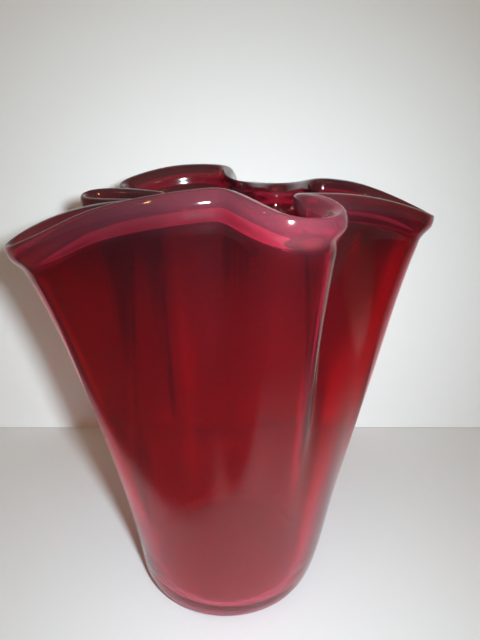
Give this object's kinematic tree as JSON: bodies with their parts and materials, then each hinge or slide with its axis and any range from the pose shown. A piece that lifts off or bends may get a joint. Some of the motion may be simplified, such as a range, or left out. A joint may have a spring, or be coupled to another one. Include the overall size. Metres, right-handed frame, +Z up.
{
  "type": "handkerchief vase",
  "caption": "Tall open glass vase on a round foot, whose wall folds into soft lobes like a draped handkerchief and ends in a thick turned-out lip.",
  "frame": {"origin": "centre of the round foot, on the plane that it stands on", "axes": "+Z up; -Y towards the front, where the front fold is; +X towards the longest lobe, on the right"},
  "size_m": [0.2131, 0.1787, 0.23],
  "materials": {
    "ruby_glass": "deep ruby red blown glass, fire-polished and glossy all over"
  },
  "bodies": {
    "root": {"vase": "ruby_glass"}
  },
  "joints": []
}
